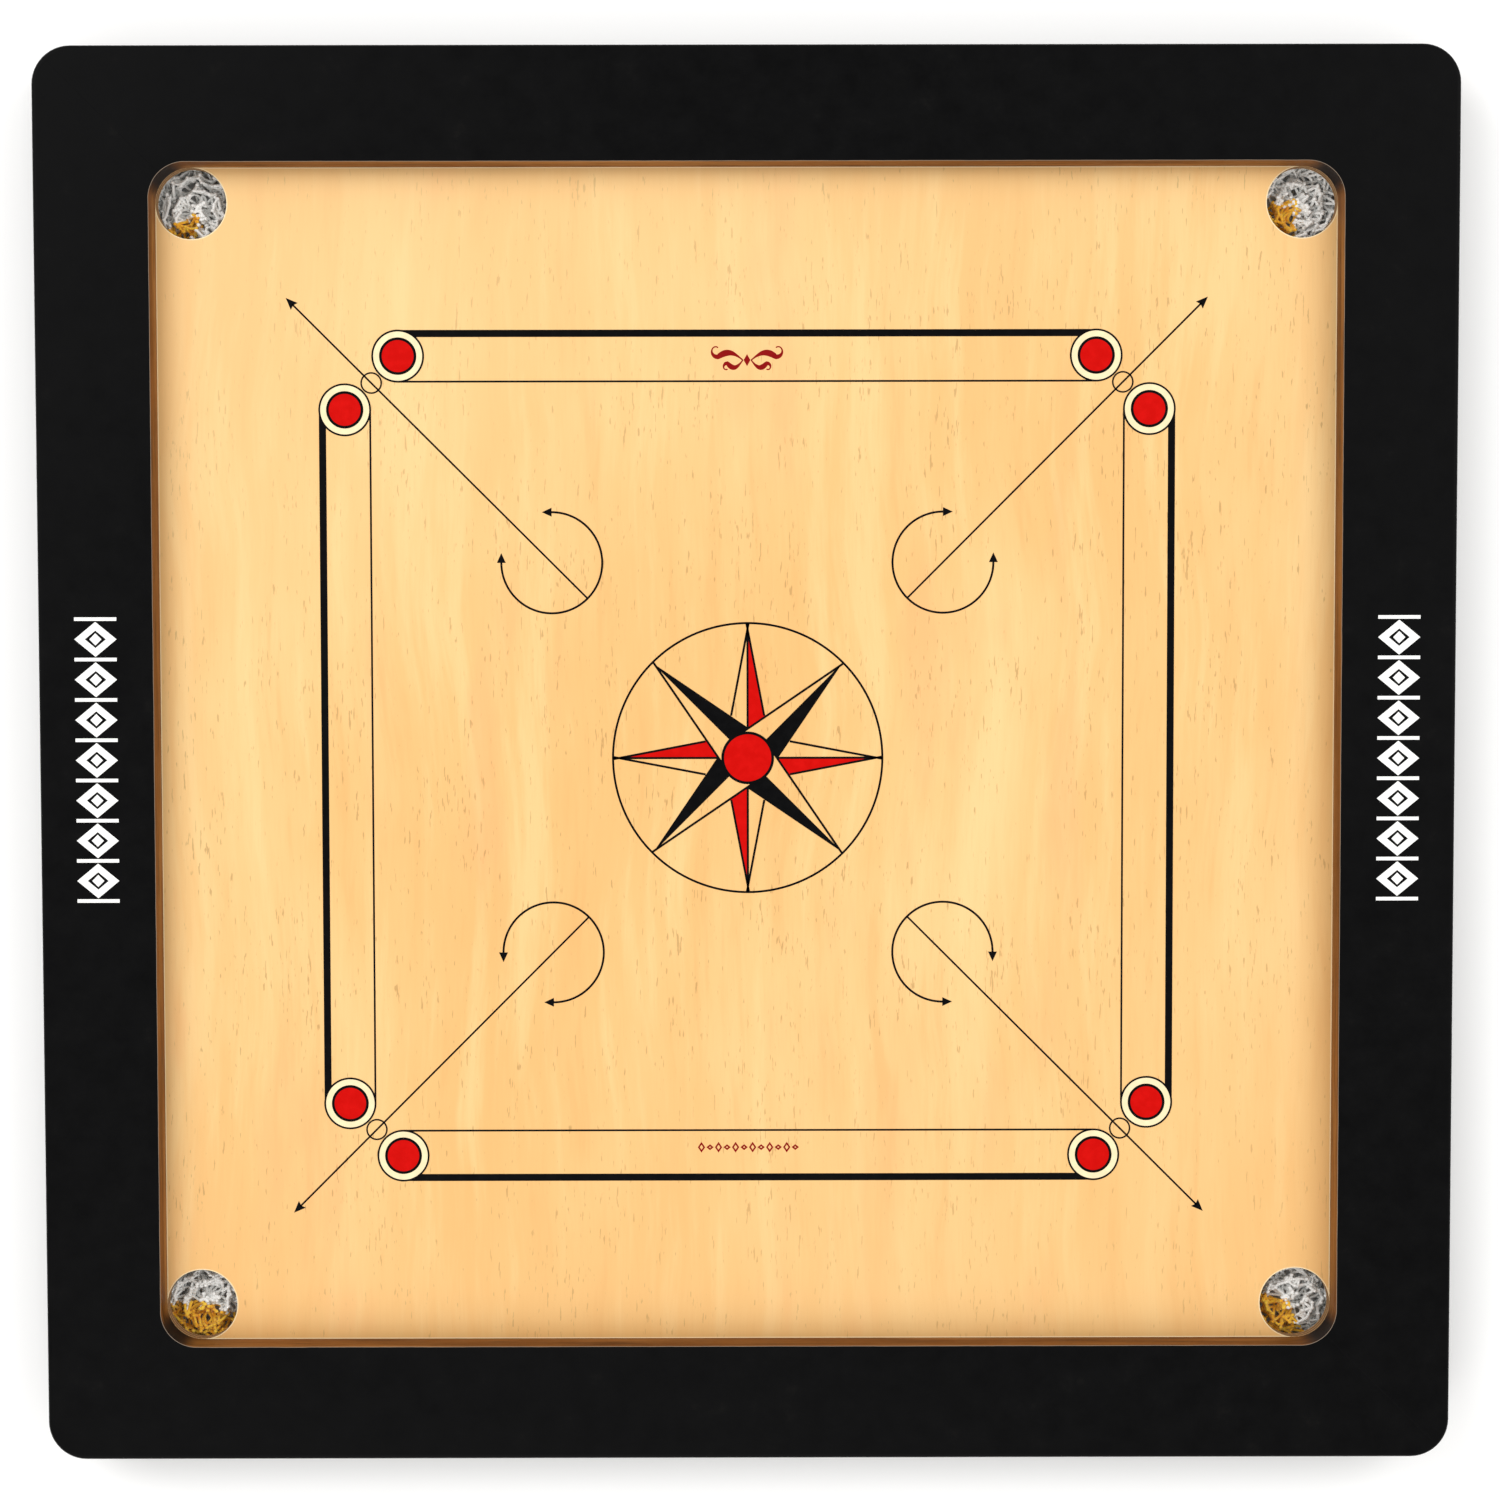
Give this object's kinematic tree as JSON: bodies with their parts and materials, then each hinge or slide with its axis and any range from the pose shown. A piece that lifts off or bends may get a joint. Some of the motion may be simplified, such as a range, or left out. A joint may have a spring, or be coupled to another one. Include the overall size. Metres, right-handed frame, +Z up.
{
  "type": "carrom board",
  "caption": "Square game board with a raised mitred rail round a flat playing panel, a round netted pocket in each corner and cross braces beneath.",
  "frame": {"origin": "on the table, under the centre of the board", "axes": "+Z up out of the playing surface, +Y towards the back rail, +X towards the right rail"},
  "size_m": [0.884, 0.884, 0.05],
  "materials": {
    "black_lacquer": "satin black lacquer on hardwood",
    "panel_veneer": "clear satin lacquer on pale veneer",
    "raw_softwood": "sawn and unfinished",
    "hardwood_slip": "unfinished, glued",
    "net_cotton": "knotted cotton twine",
    "steel_wire": "bright drawn wire",
    "zinc_steel": "zinc plated"
  },
  "bodies": {
    "root": {"play_panel": "panel_veneer", "rail_front": "black_lacquer", "rail_back": "black_lacquer", "rail_left": "black_lacquer", "rail_right": "black_lacquer", "brace_front": "raw_softwood", "brace_back": "raw_softwood", "brace_left": "raw_softwood", "brace_right": "raw_softwood", "cleat_front": "raw_softwood", "cleat_back": "raw_softwood", "cleat_left": "raw_softwood", "cleat_right": "raw_softwood", "corner_spline_front_left": "hardwood_slip", "corner_spline_front_right": "hardwood_slip", "corner_spline_back_left": "hardwood_slip", "corner_spline_back_right": "hardwood_slip", "pocket_net_front_left": "net_cotton", "pocket_net_front_right": "net_cotton", "pocket_net_back_left": "net_cotton", "pocket_net_back_right": "net_cotton", "net_cord_front_left": "net_cotton", "net_cord_front_right": "net_cotton", "net_cord_back_left": "net_cotton", "net_cord_back_right": "net_cotton", "net_staples_front_left": "steel_wire", "net_staples_front_right": "steel_wire", "net_staples_back_left": "steel_wire", "net_staples_back_right": "steel_wire", "brace_end_screws": "zinc_steel", "panel_screws": "zinc_steel", "cleat_brads": "steel_wire"}
  },
  "joints": []
}
